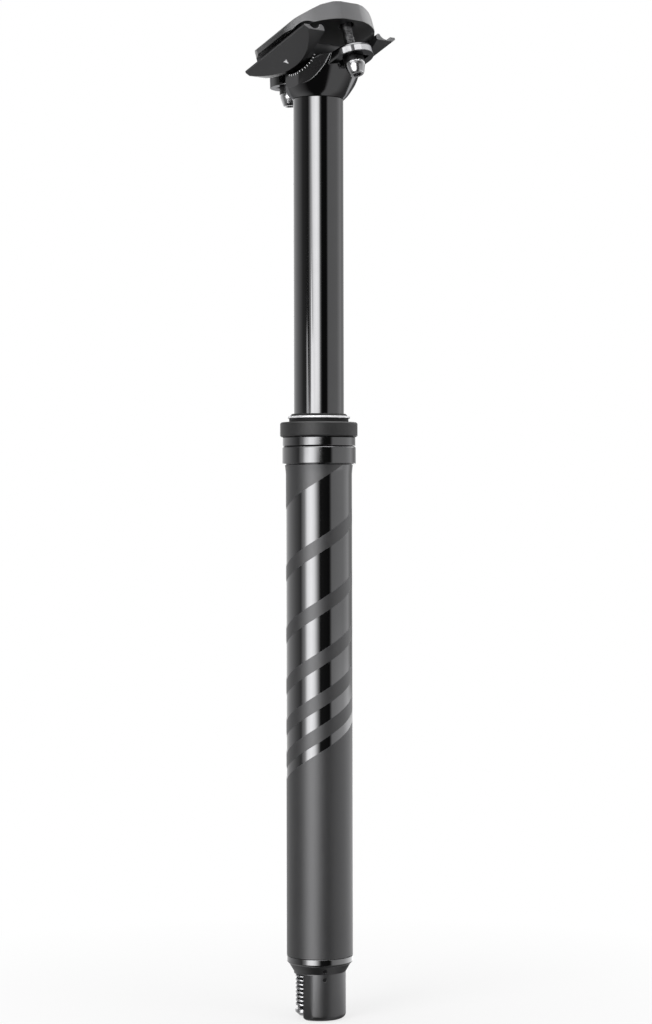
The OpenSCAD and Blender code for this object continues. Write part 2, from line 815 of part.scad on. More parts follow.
module upper_clamp() {
    half = clamp_w / 2;
    low = lip_gap / 2;
    lip_t = 2.2;
    shoulder_in = 2.6;
    shoulder_drop = 4.5;
    brow_drop = 1;
    shoulder = [half - shoulder_in, clamp_top - shoulder_drop];
    brow = [15, clamp_top - brow_drop];
    crown = 9;
    bevel_from = 15;
    bevel_angle = 10;
    right_side = [
        [half, low], [half, low + lip_t], shoulder, brow, [crown, clamp_top]
    ];
    color("#232325") in_clamp() difference() {
        intersection() {
            along_rails(2 * clamp_len) polygon([
                each right_side,
                for (i = [4 : -1 : 0]) [-right_side[i][0], right_side[i][1]]
            ]);
            linear_extrude(4 * clamp_top, center = true) clamp_outline();
        }
        rails();
        nut_room(-nut_reach, rear_lean, rear_swing);
        nut_room(nut_reach, front_lean, front_swing);
        translate([bevel_from, 0, low]) rotate([0, -bevel_angle, 0]) translate([0, -half, -clamp_top])
            cube([clamp_len, clamp_w, clamp_top]);
    }
}

// Room in the upper clamp for a barrel nut and for the bolt at every tilt
module nut_room(x, angle, ratio) {
    room_r = nut_d / 2 + run_gap;
    room_len = nut_len + 2 * move_gap;
    across(x, nut_h, room_r, room_len);
    translate([x - room_r, -room_len / 2, nut_h]) cube([2 * room_r, room_len, clamp_top]);
    mid_angle = angle - rail_tilt - (1 - ratio) * mid_tilt;
    swing_room = (nut_h - lip_gap / 2) * tan((1 - ratio) * half_tilt) + move_gap / 2;
    translate([x, 0, nut_h]) rotate([0, mid_angle, 0])
        cylinder(r = bolt_r + nut_gap + swing_room, h = 4 * nut_h, center = true);
}

module clamp_bolt(swivel, angle, reach) {
    r = bolt_head_d / 2;
    low = washer_seat - bolt_head_h;
    socket_depth = bolt_head_h / 2;
    color("#c8cacc") in_bolt(swivel, angle) difference() {
        turned([
            [0, low], [r * 0.66, low], [r * 0.74, low + 0.5], [r, low + bolt_head_h * 0.7],
            [r, washer_seat], [bolt_r, washer_seat], [bolt_r, reach - 0.6], [bolt_r - 0.6, reach],
            [0, reach]
        ]);
        translate([0, 0, low - 1]) cylinder(d = bolt_socket_d, h = socket_depth + 1, $fn = 6);
    }
}

module clamp_washer(swivel, angle) {
    color("#17171a") in_bolt(swivel, angle) difference() {
        intersection() {
            across(0, 0, washer_r, 2 * washer_d);
            translate([0, 0, washer_seat]) cylinder(d = washer_d, h = washer_r);
        }
        cylinder(r = bolt_r + bond_gap, h = 2 * washer_r);
    }
}

module barrel_nut(at, angle) {
    color("#8f9194") translate([at[0], 0, at[1]]) rotate([0, angle, 0]) difference() {
        across(0, 0, nut_d / 2, nut_len);
        cylinder(r = bolt_r + nut_gap, h = 2 * nut_d, center = true);
    }
}

module rear_bolt() {
    clamp_bolt(rear_swivel, rear_lean, rear_reach + rear_bolt_tip);
}

module rear_washer() {
    clamp_washer(rear_swivel, rear_lean);
}

module rear_nut() {
    barrel_nut(rear_nut_at, rear_lean);
}

module front_bolt() {
    clamp_bolt(front_swivel, front_lean, front_reach + front_bolt_tip);
}

module front_washer() {
    clamp_washer(front_swivel, front_lean);
}

module front_nut() {
    barrel_nut(front_nut_at, front_lean);
}

outer_tube();
lock_ring();
collar_nut();
wiper_seal();
wiper_ring();
upper_bushing();
end_cap();
actuator_housing();
housing_screws();
lever_pin();
actuator_lever();
cable_barrel();
release_plunger();
return_spring();
cartridge_body();
cartridge_tube();
rod_gland();
floating_piston();
stanchion();
lower_bushing();
guide_keys();
top_out_bumper();
post_head();
piston_rod();
piston();
rod_bolt();
lower_cradle();
upper_clamp();
rear_bolt();
rear_washer();
rear_nut();
front_bolt();
front_washer();
front_nut();
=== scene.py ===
# %% [markdown]
# # A dropper seatpost, dressed for a studio picture
# The solids of this seatpost are already built to size and joined by real joints. This lesson
# gives them what a solid model lacks: broken edges that catch the light, screw threads, a wound
# spring, printed marks and finishes that behave as anodised metal, rubber and steel do.
# All lengths are metres, in the frame of the solids, so nothing has to be fitted by eye.

# %% Load the solids
import json
import math

import bmesh
import bpy
from mathutils import Matrix, Vector

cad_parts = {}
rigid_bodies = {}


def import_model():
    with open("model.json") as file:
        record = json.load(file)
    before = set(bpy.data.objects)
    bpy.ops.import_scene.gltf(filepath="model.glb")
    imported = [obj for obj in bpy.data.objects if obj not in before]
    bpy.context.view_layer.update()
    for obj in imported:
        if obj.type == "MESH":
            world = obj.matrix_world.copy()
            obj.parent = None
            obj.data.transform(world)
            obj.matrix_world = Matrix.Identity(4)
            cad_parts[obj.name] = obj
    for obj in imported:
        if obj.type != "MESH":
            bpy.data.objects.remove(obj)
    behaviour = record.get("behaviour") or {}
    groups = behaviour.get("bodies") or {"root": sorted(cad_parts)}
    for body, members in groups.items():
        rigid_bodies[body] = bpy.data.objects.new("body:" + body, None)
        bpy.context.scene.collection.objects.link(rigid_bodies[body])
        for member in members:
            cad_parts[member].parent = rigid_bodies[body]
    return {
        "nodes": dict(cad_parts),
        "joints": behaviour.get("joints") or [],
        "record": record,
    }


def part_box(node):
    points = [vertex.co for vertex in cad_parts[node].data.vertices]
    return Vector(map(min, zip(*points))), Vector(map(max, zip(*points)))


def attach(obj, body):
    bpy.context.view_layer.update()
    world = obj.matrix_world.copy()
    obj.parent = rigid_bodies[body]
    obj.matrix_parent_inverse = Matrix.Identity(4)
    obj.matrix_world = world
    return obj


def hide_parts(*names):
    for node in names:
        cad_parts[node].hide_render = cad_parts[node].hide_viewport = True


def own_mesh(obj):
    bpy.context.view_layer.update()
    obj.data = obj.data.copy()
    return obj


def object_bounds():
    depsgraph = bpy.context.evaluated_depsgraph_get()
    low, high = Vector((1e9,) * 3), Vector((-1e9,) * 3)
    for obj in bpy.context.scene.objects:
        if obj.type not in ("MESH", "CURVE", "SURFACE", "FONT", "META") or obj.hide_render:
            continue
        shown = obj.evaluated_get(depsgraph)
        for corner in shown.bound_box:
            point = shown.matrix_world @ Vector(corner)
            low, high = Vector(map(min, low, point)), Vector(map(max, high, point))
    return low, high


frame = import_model()
cad_low, cad_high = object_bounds()
MM = 0.001
joint_at = {joint["name"]: joint.get("pos_m") for joint in frame["joints"]}
print("height in mm:", round((cad_high.z - cad_low.z) / MM, 1))

# %% [markdown]
# ## The camera
# The picture looks straight at the post from its rear left, level with a point just under the
# shoulder. A long lens from 1.2 m gives the faint perspective of a product picture. A camera can
# be aimed with a Track To constraint, but a plain rotation from two vectors leaves nothing live in
# the scene. The post leans by an eighth of a degree in the picture, so the camera rolls by that.

# %% Aim the camera
VIEW_FROM = Vector((-0.766, 0.643, 0)).normalized()
VIEW_RIGHT = Vector((-VIEW_FROM.y, VIEW_FROM.x, 0))
CAMERA_AWAY = 1.2
CAMERA_HEIGHT = -18.1 * MM
CAMERA_ASIDE = 3.35 * MM
LENS_MM = 88.24
SENSOR_MM = 36
ROLL = math.radians(-0.12)

camera = bpy.data.objects.new("camera", bpy.data.cameras.new("camera"))
bpy.context.scene.collection.objects.link(camera)
bpy.context.scene.camera = camera
camera.data.lens = LENS_MM
camera.data.sensor_width = SENSOR_MM
camera.location = VIEW_FROM * CAMERA_AWAY + VIEW_RIGHT * CAMERA_ASIDE + Vector((0, 0, CAMERA_HEIGHT))
aim = (-VIEW_FROM).to_track_quat("-Z", "Y").to_matrix()
camera.rotation_euler = (aim @ Matrix.Rotation(ROLL, 3, "Z")).to_euler()
print("camera at", [round(value, 4) for value in camera.location], "right is", VIEW_RIGHT[:])

# %% [markdown]
# ## A shorthand for node trees
# Every finish below is a node tree, and so is every repeated piece. Placing nodes by hand is slow,
# so one small class wraps a socket and lets sums be written as Python sums: `1 - mask` adds a Math
# node. One method makes any other node: its settings go in first, because they decide which
# sockets the node has, and then the values or links of its sockets.

# %% Sockets that can be added and multiplied
class Signal:
    def __init__(self, graph, socket):
        self.graph = graph
        self.socket = socket

    def sum_of(self, operation, first, second):
        made = self.graph.node("ShaderNodeMath", {"operation": operation}, {0: first, 1: second})
        return made["Value"]

    def __add__(self, other):
        return self.sum_of("ADD", self, other)

    def __radd__(self, other):
        return self.sum_of("ADD", other, self)

    def __sub__(self, other):
        return self.sum_of("SUBTRACT", self, other)

    def __rsub__(self, other):
        return self.sum_of("SUBTRACT", other, self)

    def __mul__(self, other):
        return self.sum_of("MULTIPLY", self, other)

    def __rmul__(self, other):
        return self.sum_of("MULTIPLY", other, self)

    def __truediv__(self, other):
        return self.sum_of("DIVIDE", self, other)

    def __rtruediv__(self, other):
        return self.sum_of("DIVIDE", other, self)

    def __gt__(self, other):
        return self.sum_of("GREATER_THAN", self, other)

    def __lt__(self, other):
        return self.sum_of("LESS_THAN", self, other)

    def __abs__(self):
        return self.sum_of("ABSOLUTE", self, 0.0)

    def most(self, other):
        return self.sum_of("MAXIMUM", self, other)

    def least(self, other):
        return self.sum_of("MINIMUM", self, other)

    def turn_from(self, other):
        return self.sum_of("ARCTAN2", self, other)


print("ready:", Signal.__name__)


# %% Trees that make any node
class Graph:
    def __init__(self, tree):
        self.tree = tree

    def node(self, kind, settings=None, sockets=None):
        made = self.tree.nodes.new(kind)
        for name, value in (settings or {}).items():
            if name == "stops":
                self.set_stops(made.color_ramp, value)
            else:
                setattr(made, name, value)
        for name, value in (sockets or {}).items():
            self.feed(self.find(made.inputs, name), value)
        return {socket.name: Signal(self, socket) for socket in made.outputs if socket.enabled}

    def set_stops(self, ramp, stops):
        while len(ramp.elements) < len(stops):
            ramp.elements.new(1.0)
        for element, (place, grey) in zip(ramp.elements, stops):
            element.position = place
            element.color = (grey, grey, grey, 1)

    def find(self, sockets, name):
        if isinstance(name, int):
            return sockets[name]
        return next(socket for socket in sockets if socket.enabled and socket.name == name)

    def feed(self, socket, value):
        if isinstance(value, Signal):
            self.tree.links.new(value.socket, socket)
        else:
            socket.default_value = value

    def blend(self, factor, first, second):
        made = self.node("ShaderNodeMix", {"data_type": "RGBA"}, {
            "Factor": factor, "A": first, "B": second})
        return made["Result"]


print("ready:", Graph.__name__)

# %% [markdown]
# ## Finishes
# A finish here is one Principled shader whose constants are set on the shader itself, and whose
# colour, roughness and bump are fed by noise in Object coordinates. Noise of three sizes does most
# of the work: a fine grain, which is the etched or blasted surface itself, a drawn grain, stretched
# along the post as tube stock is, and a broad cloud, which is handling and uneven dye.

# %% A material with one shader, noise and bump
BLUE_CAST = 1.02
BEVEL_SAMPLES = 8


def grey(level):
    return (level, level, level * BLUE_CAST, 1)


class Finish(Graph):
    def __init__(self, name, **constants):
        self.material = bpy.data.materials.new(name)
        self.material.use_nodes = True
        super().__init__(self.material.node_tree)
        self.shader = self.tree.nodes["Principled BSDF"]
        for socket, value in constants.items():
            self.shader.inputs[socket.replace("_", " ")].default_value = value
        self.place = self.node("ShaderNodeTexCoord")["Object"]

    def noise(self, size, detail, stretch=(1, 1, 1)):
        place = self.node("ShaderNodeMapping", {}, {"Vector": self.place, "Scale": stretch})
        made = self.node("ShaderNodeTexNoise", {}, {
            "Vector": place["Vector"], "Scale": 1 / size, "Detail": detail})
        return made["Fac"]

    def xyz(self):
        return self.node("ShaderNodeSeparateXYZ", {}, {0: self.place})

    def give(self, socket, value):
        self.feed(self.shader.inputs[socket], value)

    def bump(self, height, strength, distance, edge_r=0.0):
        sockets = {"Height": height, "Strength": strength, "Distance": distance}
        if edge_r:
            rounded = self.node("ShaderNodeBevel", {"samples": BEVEL_SAMPLES}, {"Radius": edge_r})
            sockets["Normal"] = rounded["Normal"]
        self.give("Normal", self.node("ShaderNodeBump", {}, sockets)["Normal"])


print("ready:", Finish.__name__)

# %% Metal and coating, with grain and cloudiness
NOISE_MIDDLE = 0.5
SOME_DETAIL = 2.0
MORE_DETAIL = 3.0
METAL_CLOUD = 9 * MM
METAL_CLOUD_SHARE = 0.6
METAL_DEPTH = 0.02 * MM
COATING_CLOUD = 7 * MM
COATING_CLOUD_SHARE = 0.5
COATING_DEPTH = 0.05 * MM


def tone(finish, cloud, cloud_share, grain, dark, light, rough, rough_spread):
    mixed = cloud * cloud_share + grain * (1 - cloud_share)
    finish.give("Base Color", finish.blend(mixed, grey(dark), grey(light)))
    uneven = (grain - NOISE_MIDDLE) * rough_spread + (cloud - NOISE_MIDDLE) * rough_spread
    finish.give("Roughness", uneven + rough)


def metal(name, dark, light, rough, rough_spread, grain_mm, bump, drawn=(1, 1, 1), edge_mm=0.0):
    finish = Finish(name, Metallic=1.0)
    cloud = finish.noise(METAL_CLOUD, MORE_DETAIL)
    grain = finish.noise(grain_mm * MM, SOME_DETAIL, drawn)
    tone(finish, cloud, METAL_CLOUD_SHARE, grain, dark, light, rough, rough_spread)
    finish.bump(grain, bump, METAL_DEPTH, edge_mm * MM)
    return finish


def coating(name, dark, light, rough, rough_spread, grain_mm, bump, **constants):
    finish = Finish(name, **constants)
    cloud = finish.noise(COATING_CLOUD, MORE_DETAIL)
    grain = finish.noise(grain_mm * MM, MORE_DETAIL)
    tone(finish, cloud, COATING_CLOUD_SHARE, grain, dark, light, rough, rough_spread)
    finish.bump(grain, bump, COATING_DEPTH)
    return finish


print("clouds in mm:", METAL_CLOUD / MM, "on metal and", COATING_CLOUD / MM, "on a coating")

# %% [markdown]
# ### The lower tube: two kinds of black
# The lower tube is black anodised aluminium, satin where it goes into the frame, with a design of
# glossy bands in its upper half. Such a design is masked before the etching bath, so the bands keep
# their polish, and the ground round them turns rough and a little darker. An image texture would
# need a UV map, and a painted mask has a fixed size, so the bands are worked out from the surface
# point: its height, and its way round the tube from a fixed line. Slanted bands that get narrower
# downwards are the design, and the shorter way round makes them meet on the far side. The shoulder
# above them is polished too.

# %% Where the tube is polished
TUBE_R = 15.8 * MM
BAND_TOP = -17 * MM
BAND_HEIGHTS = [27 * MM, 22 * MM, 17 * MM, 12 * MM, 8 * MM, 5 * MM]
BAND_GAP = 7.5 * MM
BAND_SLANT = 0.62
BAND_LINE = math.radians(60)
SHOULDER_LOW = 4.6 * MM

tube = Finish("black_tube", Metallic=1.0)
point = tube.xyz()
turned_x = point["X"] * math.cos(BAND_LINE) + point["Y"] * math.sin(BAND_LINE)
turned_y = point["Y"] * math.cos(BAND_LINE) - point["X"] * math.sin(BAND_LINE)
along_band = point["Z"] - abs(turned_y.turn_from(turned_x)) * (TUBE_R * BAND_SLANT)
gloss_mask = 0.0
band_low = BAND_TOP
for height in BAND_HEIGHTS:
    band_high, band_low = band_low, band_low - height
    gloss_mask = (along_band < band_high) * (along_band > band_low) + gloss_mask
    band_low -= BAND_GAP
gloss_mask = (point["Z"] > SHOULDER_LOW) + gloss_mask
print("bands end at z mm:", round((band_low + BAND_GAP) / MM, 1))

# %% Satin black and polished black
SATIN_GREYS = (0.118, 0.14)
POLISHED_GREYS = (0.145, 0.165)
SATIN_ROUGH = 0.47
POLISHED_ROUGH = 0.09
SATIN_BUMP = 0.06
TUBE_GRAIN = 0.5 * MM
DRAWN_LONG = (1, 1, 0.25)
TUBE_CLOUD = 14 * MM
TUBE_CLOUD_SHARE = 0.7
GRAIN_ROUGH = 0.04
CLOUD_ROUGH = 0.03

tube_grain = tube.noise(TUBE_GRAIN, SOME_DETAIL, DRAWN_LONG)
tube_cloud = tube.noise(TUBE_CLOUD, MORE_DETAIL)
tube_tone = tube_cloud * TUBE_CLOUD_SHARE + tube_grain * (1 - TUBE_CLOUD_SHARE)
satin = tube.blend(tube_tone, *map(grey, SATIN_GREYS))
polished = tube.blend(tube_tone, *map(grey, POLISHED_GREYS))
tube.give("Base Color", tube.blend(gloss_mask, satin, polished))
tube.give("Roughness", SATIN_ROUGH + gloss_mask * (POLISHED_ROUGH - SATIN_ROUGH)
          + (tube_grain - NOISE_MIDDLE) * GRAIN_ROUGH + (tube_cloud - NOISE_MIDDLE) * CLOUD_ROUGH)
tube.bump(tube_grain * (1 - gloss_mask), SATIN_BUMP, METAL_DEPTH)
print("tube nodes:", len(tube.tree.nodes))

# %% [markdown]
# ### The other finishes
# The stanchion and head are polished before they are dyed, so they mirror the studio. The clamp is
# blasted, which spreads every reflection. The collar is matt, the wiper is rubber, the bolts are
# plated steel, and their thread is painted far darker than the head: a painted reflection of the
# dark clamp that the plated thread mirrors. The pieces inside the post are never seen here, but the
# part is used in other scenes where it may be cut open, so they get honest finishes too. In each
# line below the numbers are the darkest and lightest grey, the roughness and its spread, the size
# of the grain in millimetres and the strength of its bump. The tint dims the head's mirror where it
# is seen at a slant.

# %% Make one material per slot
HEAD_TINT = 0.4
finishes = {
    "tube_satin": tube,
    "black_gloss": metal("gloss_black_rings", *POLISHED_GREYS, 0.10, 0.02, 0.4, 0.02),
    "stanchion_gloss": metal("polished_stanchion", *POLISHED_GREYS, 0.07, 0.02, 0.3, 0.015, (1, 1, 0.03)),
    "head_gloss": metal("polished_head", *POLISHED_GREYS, 0.11, 0.03, 0.5, 0.02, edge_mm=0.5),
    "clamp_satin": metal("blasted_clamp", 0.125, 0.165, 0.42, 0.06, 0.35, 0.12, edge_mm=0.35),
    "collar_matt": coating("matt_collar", 0.012, 0.02, 0.48, 0.08, 0.3, 0.15),
    "seal_rubber": coating("wiper_rubber", 0.01, 0.016, 0.6, 0.1, 0.4, 0.2, Specular_IOR_Level=0.2),
    "bright_alloy": coating("bare_alloy", 0.84, 0.92, 0.45, 0.06, 0.25, 0.05, Metallic=0.4),
    "slide_polymer": coating("slide_polymer", 0.16, 0.22, 0.45, 0.05, 0.6, 0.1),
    "housing_grey": metal("etched_housing", 0.13, 0.16, 0.42, 0.06, 0.3, 0.12, edge_mm=0.3),
    "screw_black": metal("blackened_screws", 0.05, 0.08, 0.4, 0.06, 0.2, 0.1, edge_mm=0.2),
    "steel": metal("ground_steel", 0.42, 0.52, 0.28, 0.06, 0.2, 0.05, (1, 1, 0.1)),
    "lever_alloy": metal("tumbled_lever", 0.35, 0.45, 0.35, 0.06, 0.3, 0.08),
    "brass": metal("turned_brass", 0.5, 0.6, 0.25, 0.05, 0.2, 0.05),
    "spring_steel": metal("spring_wire", 0.5, 0.62, 0.24, 0.06, 0.2, 0.04),
    "cartridge_alloy": metal("drawn_cartridge", 0.4, 0.5, 0.3, 0.06, 0.3, 0.05, (1, 1, 0.05)),
    "bolt_steel": metal("plated_bolts", 0.45, 0.58, 0.22, 0.06, 0.2, 0.04),
}
finishes["head_gloss"].give("Specular Tint", grey(HEAD_TINT))
# The thread finish is far darker than the plated bolts: painted shade for the dark clamp the thread
# mirrors
rolled_thread = metal("rolled_thread", 0.07, 0.13, 0.42, 0.06, 0.2, 0.1)
print("materials:", [finish.material.name for finish in finishes.values()])

# %% Which pieces have which finish
slot_nodes = {
    "tube_satin": ["outer_tube"],
    "black_gloss": ["lock_ring", "end_cap"],
    "collar_matt": ["collar_nut"],
    "seal_rubber": ["wiper_seal", "top_out_bumper"],
    "bright_alloy": ["wiper_ring", "rod_gland"],
    "slide_polymer": ["upper_bushing", "lower_bushing"],
    "housing_grey": ["actuator_housing"],
    "screw_black": ["housing_screws", "rear_washer", "front_washer"],
    "steel": ["lever_pin", "piston_rod", "rod_bolt", "release_plunger"],
    "lever_alloy": ["actuator_lever"],
    "brass": ["cable_barrel", "guide_keys", "piston"],
    "spring_steel": ["return_spring"],
    "cartridge_alloy": ["cartridge_body", "cartridge_tube", "floating_piston"],
    "stanchion_gloss": ["stanchion"],
    "head_gloss": ["post_head"],
    "clamp_satin": ["lower_cradle", "upper_clamp"],
    "bolt_steel": ["rear_bolt", "front_bolt", "rear_nut", "front_nut"],
}
slot_of = {node: slot for slot, nodes in slot_nodes.items() for node in nodes}
for node, piece in frame["nodes"].items():
    piece.data.materials.clear()
    piece.data.materials.append(finishes[slot_of[node]].material)
print("finished nodes:", len(slot_of), "without a finish:", set(frame["nodes"]) - set(slot_of))

# %% [markdown]
# ## Broken edges
# No edge of a machined or forged part is sharp: each is broken by a tenth to half a millimetre, and
# that narrow strip is what draws a bright line round a black part. The solids have sharp edges, so
# each visible one is copied, its loose triangles are merged, flat triangles are joined into whole
# faces, tiny sharp edges are closed up, and a Bevel modifier breaks the edges that are left. The
# modifier's own overlap guard makes all edges as narrow as the tightest place, so it is off, and
# each edge gets its own share of the width, from the room on the faces beside it. Pieces with many
# small faces keep their corners, and their finish rounds the shading there with a Bevel node. A Weld
# modifier joins the points that two bevels leave in one place. The copy stands in for the solid.

# %% Sharp edges, and the room beside them
CREASE = math.radians(28)
CURVE = math.radians(25)
ROOM_SHARE = 0.4


def way_along(edge):
    return (edge.verts[1].co - edge.verts[0].co).normalized()


def is_sharp(edge):
    return edge.calc_face_angle(0.0) >= CREASE


def runs_on(edge, vertex):
    others = [other for other in vertex.link_edges if other != edge and is_sharp(other)]
    return any(abs(way_along(edge).dot(way_along(other))) > math.cos(CURVE) for other in others)


def room_beside(edge):
    start, way = edge.verts[0].co, way_along(edge)
    depths = [max((v.co - start - way * (v.co - start).dot(way)).length for v in face.verts)
              for face in edge.link_faces]
    return min(depths) * ROOM_SHARE


print("an edge is sharp from", round(math.degrees(CREASE)), "degrees")

# %% Copy, merge and break the edges of one node
MERGE = 0.002 * MM
FLAT = math.radians(0.4)
SLIVER = 0.25 * MM
EDGE_SEGMENTS = 3
bodies = frame["record"]["behaviour"]["bodies"]
body_of = {node: body for body, nodes in bodies.items() for node in nodes}


def keep(piece, body, slot, *nodes):
    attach(piece, body)
    if nodes:
        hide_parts(*nodes)
    return piece


def merged_copy(node):
    made = bmesh.new()
    made.from_mesh(frame["nodes"][node].data)
    bmesh.ops.remove_doubles(made, verts=made.verts[:], dist=MERGE)
    bmesh.ops.dissolve_limit(made, angle_limit=FLAT, verts=made.verts[:], edges=made.edges[:])
    slivers = [edge for edge in made.edges if edge.calc_length() < SLIVER and is_sharp(edge)
               and not all(runs_on(edge, vertex) for vertex in edge.verts)]
    bmesh.ops.collapse(made, edges=slivers)
    return made


def whole_width(edge):
    return 1.0


def dress(node, edge_mm, segments=EDGE_SEGMENTS, share_of=whole_width):
    mesh = bpy.data.meshes.new(node + "_dressed")
    made = merged_copy(node)
    for face in made.faces:
        face.smooth = True
    share = made.edges.layers.float.new("bevel_weight_edge")
    for edge in made.edges:
        edge.smooth = not is_sharp(edge)
        if edge_mm and not edge.smooth:
            edge[share] = min(share_of(edge), room_beside(edge) / (edge_mm * MM))
    made.to_mesh(mesh)
    made.free()
    mesh.materials.append(finishes[slot_of[node]].material)
    piece = bpy.data.objects.new(node + "_dressed", mesh)
    bpy.context.scene.collection.objects.link(piece)
    if edge_mm:
        edges = piece.modifiers.new("broken_edges", "BEVEL")
        edges.width = edge_mm * MM
        edges.segments = segments
        edges.limit_method = "WEIGHT"
        edges.use_clamp_overlap = False
        edges.harden_normals = True
        edges.miter_outer = "MITER_ARC"
        piece.modifiers.new("closed_points", "WELD").merge_threshold = MERGE
    return keep(piece, body_of[node], slot_of[node], node)


print("nodes with a body:", len(body_of))

# %% Dress the pieces that show
edge_widths_mm = {
    "outer_tube": 0.25, "lock_ring": 0.3, "collar_nut": 0.15, "wiper_seal": 0.15, "wiper_ring": 0.12,
    "end_cap": 0.25, "actuator_lever": 0.15, "stanchion": 0.2, "rear_bolt": 0.2, "front_bolt": 0.2,
}
plain_edges = [
    "upper_clamp", "lower_cradle", "actuator_housing", "housing_screws", "cable_barrel", "rear_washer",
    "front_washer", "rear_nut", "front_nut"]
edge_widths_mm.update({node: 0.0 for node in plain_edges})
dressed = {node: dress(node, width) for node, width in edge_widths_mm.items()}
faces = sum(len(piece.data.polygons) for piece in dressed.values())
print("dressed:", len(dressed), "faces before bevels:", faces)

# %% [markdown]
# The head is forged, and the upper rims of its two bolt ears are rounded far more than its other
# edges. Only the rims get a share of the Bevel modifier's width, and the finish rounds the shading
# of the rest. The rims are found by measuring along each bolt's line, which runs from its swivel
# point to its nut: they are the highest edges at the ear's own radius.

# %% The lines of the two bolts
FRONT_SWIVEL = Vector((21.1511, 0, 181.279)) * MM
bolt_ends = {
    "rear_bolt": (Vector(joint_at["rear_bolt_swing"]), Vector(joint_at["rear_nut_turn"])),
    "front_bolt": (FRONT_SWIVEL, Vector(joint_at["front_nut_turn"])),
}


def bolt_line(bolt):
    swivel, nut = bolt_ends[bolt]
    return swivel, (nut - swivel).normalized()


def lean_of(line):
    return math.atan2(line.x, line.z)


def along_bolt(bolt, place):
    swivel, line = bolt_line(bolt)
    height = (place - swivel).dot(line)
    return height, (place - swivel - line * height).length


for bolt in bolt_ends:
    print(bolt, "leans by degrees:", round(math.degrees(lean_of(bolt_line(bolt)[1])), 2))

# %% Round the ears of the head
HEAD_EDGE_MM = 1.4
HEAD_SEGMENTS = 5
EAR_HALF = 9.6 * MM
ARM_HALF = 6.6 * MM
NEAR = 0.05 * MM
head_corners = [vertex.co for vertex in frame["nodes"]["post_head"].data.vertices]
rim_heights = {}
for bolt in bolt_ends:
    reaches = [along_bolt(bolt, corner) for corner in head_corners]
    rim_heights[bolt] = max(height for height, reach in reaches if abs(reach - EAR_HALF) < NEAR)


def head_share(edge):
    for bolt, rim_height in rim_heights.items():
        reaches = [along_bolt(bolt, vertex.co) for vertex in edge.verts]
        if all(abs(height - rim_height) < NEAR and reach > ARM_HALF - NEAR for height, reach in reaches):
            return 1.0
    return 0.0


dressed["post_head"] = dress("post_head", HEAD_EDGE_MM, HEAD_SEGMENTS, head_share)
print("ear rims above the swivels in mm:", {bolt: round(rim / MM, 2) for bolt, rim in rim_heights.items()})

# %% [markdown]
# ## A helix for threads and the spring
# A screw thread and a coil spring are the same thing to Blender: a profile swept along a spiral.
# A Screw modifier could turn a profile up, and a curve could be typed point by point. A Geometry
# Nodes tree is better here, because one tree with named sizes makes the two threads and the
# spring. Its result is turned into a plain mesh, so nothing is left to evaluate.

# %% The helix tree
def new_tree(name, sizes):
    tree = bpy.data.node_groups.new(name, "GeometryNodeTree")
    tree.interface.new_socket("Geometry", in_out="OUTPUT", socket_type="NodeSocketGeometry")
    for label, kind in sizes.items():
        tree.interface.new_socket(label, in_out="INPUT", socket_type=kind)
    graph = Graph(tree)
    return graph, graph.node("NodeGroupInput")


NUMBER = "NodeSocketFloat"
WHOLE = "NodeSocketInt"
PLACE = "NodeSocketVector"
SKIN = "NodeSocketMaterial"
MOST_FLAT_SIDES = 5.0
helix, size = new_tree("helix", {
    "Turns": NUMBER, "Steps per turn": NUMBER, "Radius": NUMBER, "Height": NUMBER,
    "Wire radius": NUMBER, "Wire sides": WHOLE, "Place": PLACE, "Lean": PLACE, "Finish": SKIN})
spiral = helix.node("GeometryNodeCurveSpiral", {}, {
    "Resolution": size["Steps per turn"], "Rotations": size["Turns"],
    "Start Radius": size["Radius"], "End Radius": size["Radius"], "Height": size["Height"]})
wire = helix.node("GeometryNodeCurvePrimitiveCircle", {"mode": "RADIUS"}, {
    "Resolution": size["Wire sides"], "Radius": size["Wire radius"]})
swept = helix.node("GeometryNodeCurveToMesh", {}, {
    "Curve": spiral["Curve"], "Profile Curve": wire["Curve"], "Fill Caps": True})
smooth = helix.node("GeometryNodeSetShadeSmooth", {}, {
    "Geometry": swept["Mesh"], "Shade Smooth": size["Wire sides"] > MOST_FLAT_SIDES})
leaned = helix.node("GeometryNodeTransform", {}, {
    "Geometry": smooth["Geometry"], "Translation": size["Place"], "Rotation": size["Lean"]})
plain = helix.node("GeometryNodeRealizeInstances", {}, {"Geometry": leaned["Geometry"]})
finished = helix.node("GeometryNodeSetMaterial", {}, {
    "Geometry": plain["Geometry"], "Material": size["Finish"]})
helix.node("NodeGroupOutput", {}, {"Geometry": finished["Geometry"]})
print("helix sizes:", list(size))


# %% Turn a tree into a plain piece
def grow(name, graph, sizes):
    seed = bpy.data.objects.new(name + "_seed", bpy.data.meshes.new(name + "_seed"))
    bpy.context.scene.collection.objects.link(seed)
    nodes = seed.modifiers.new("nodes", "NODES")
    nodes.node_group = graph.tree
    for item in graph.tree.interface.items_tree:
        if item.in_out == "INPUT":
            nodes[item.identifier] = sizes[item.name]
    shape = seed.evaluated_get(bpy.context.evaluated_depsgraph_get())
    mesh = bpy.data.meshes.new_from_object(shape)
    bpy.data.objects.remove(seed)
    mesh.name = name
    piece = bpy.data.objects.new(name, mesh)
    bpy.context.scene.collection.objects.link(piece)
    print(name, "faces:", len(mesh.polygons))
    return piece


print("ready:", grow.__name__)
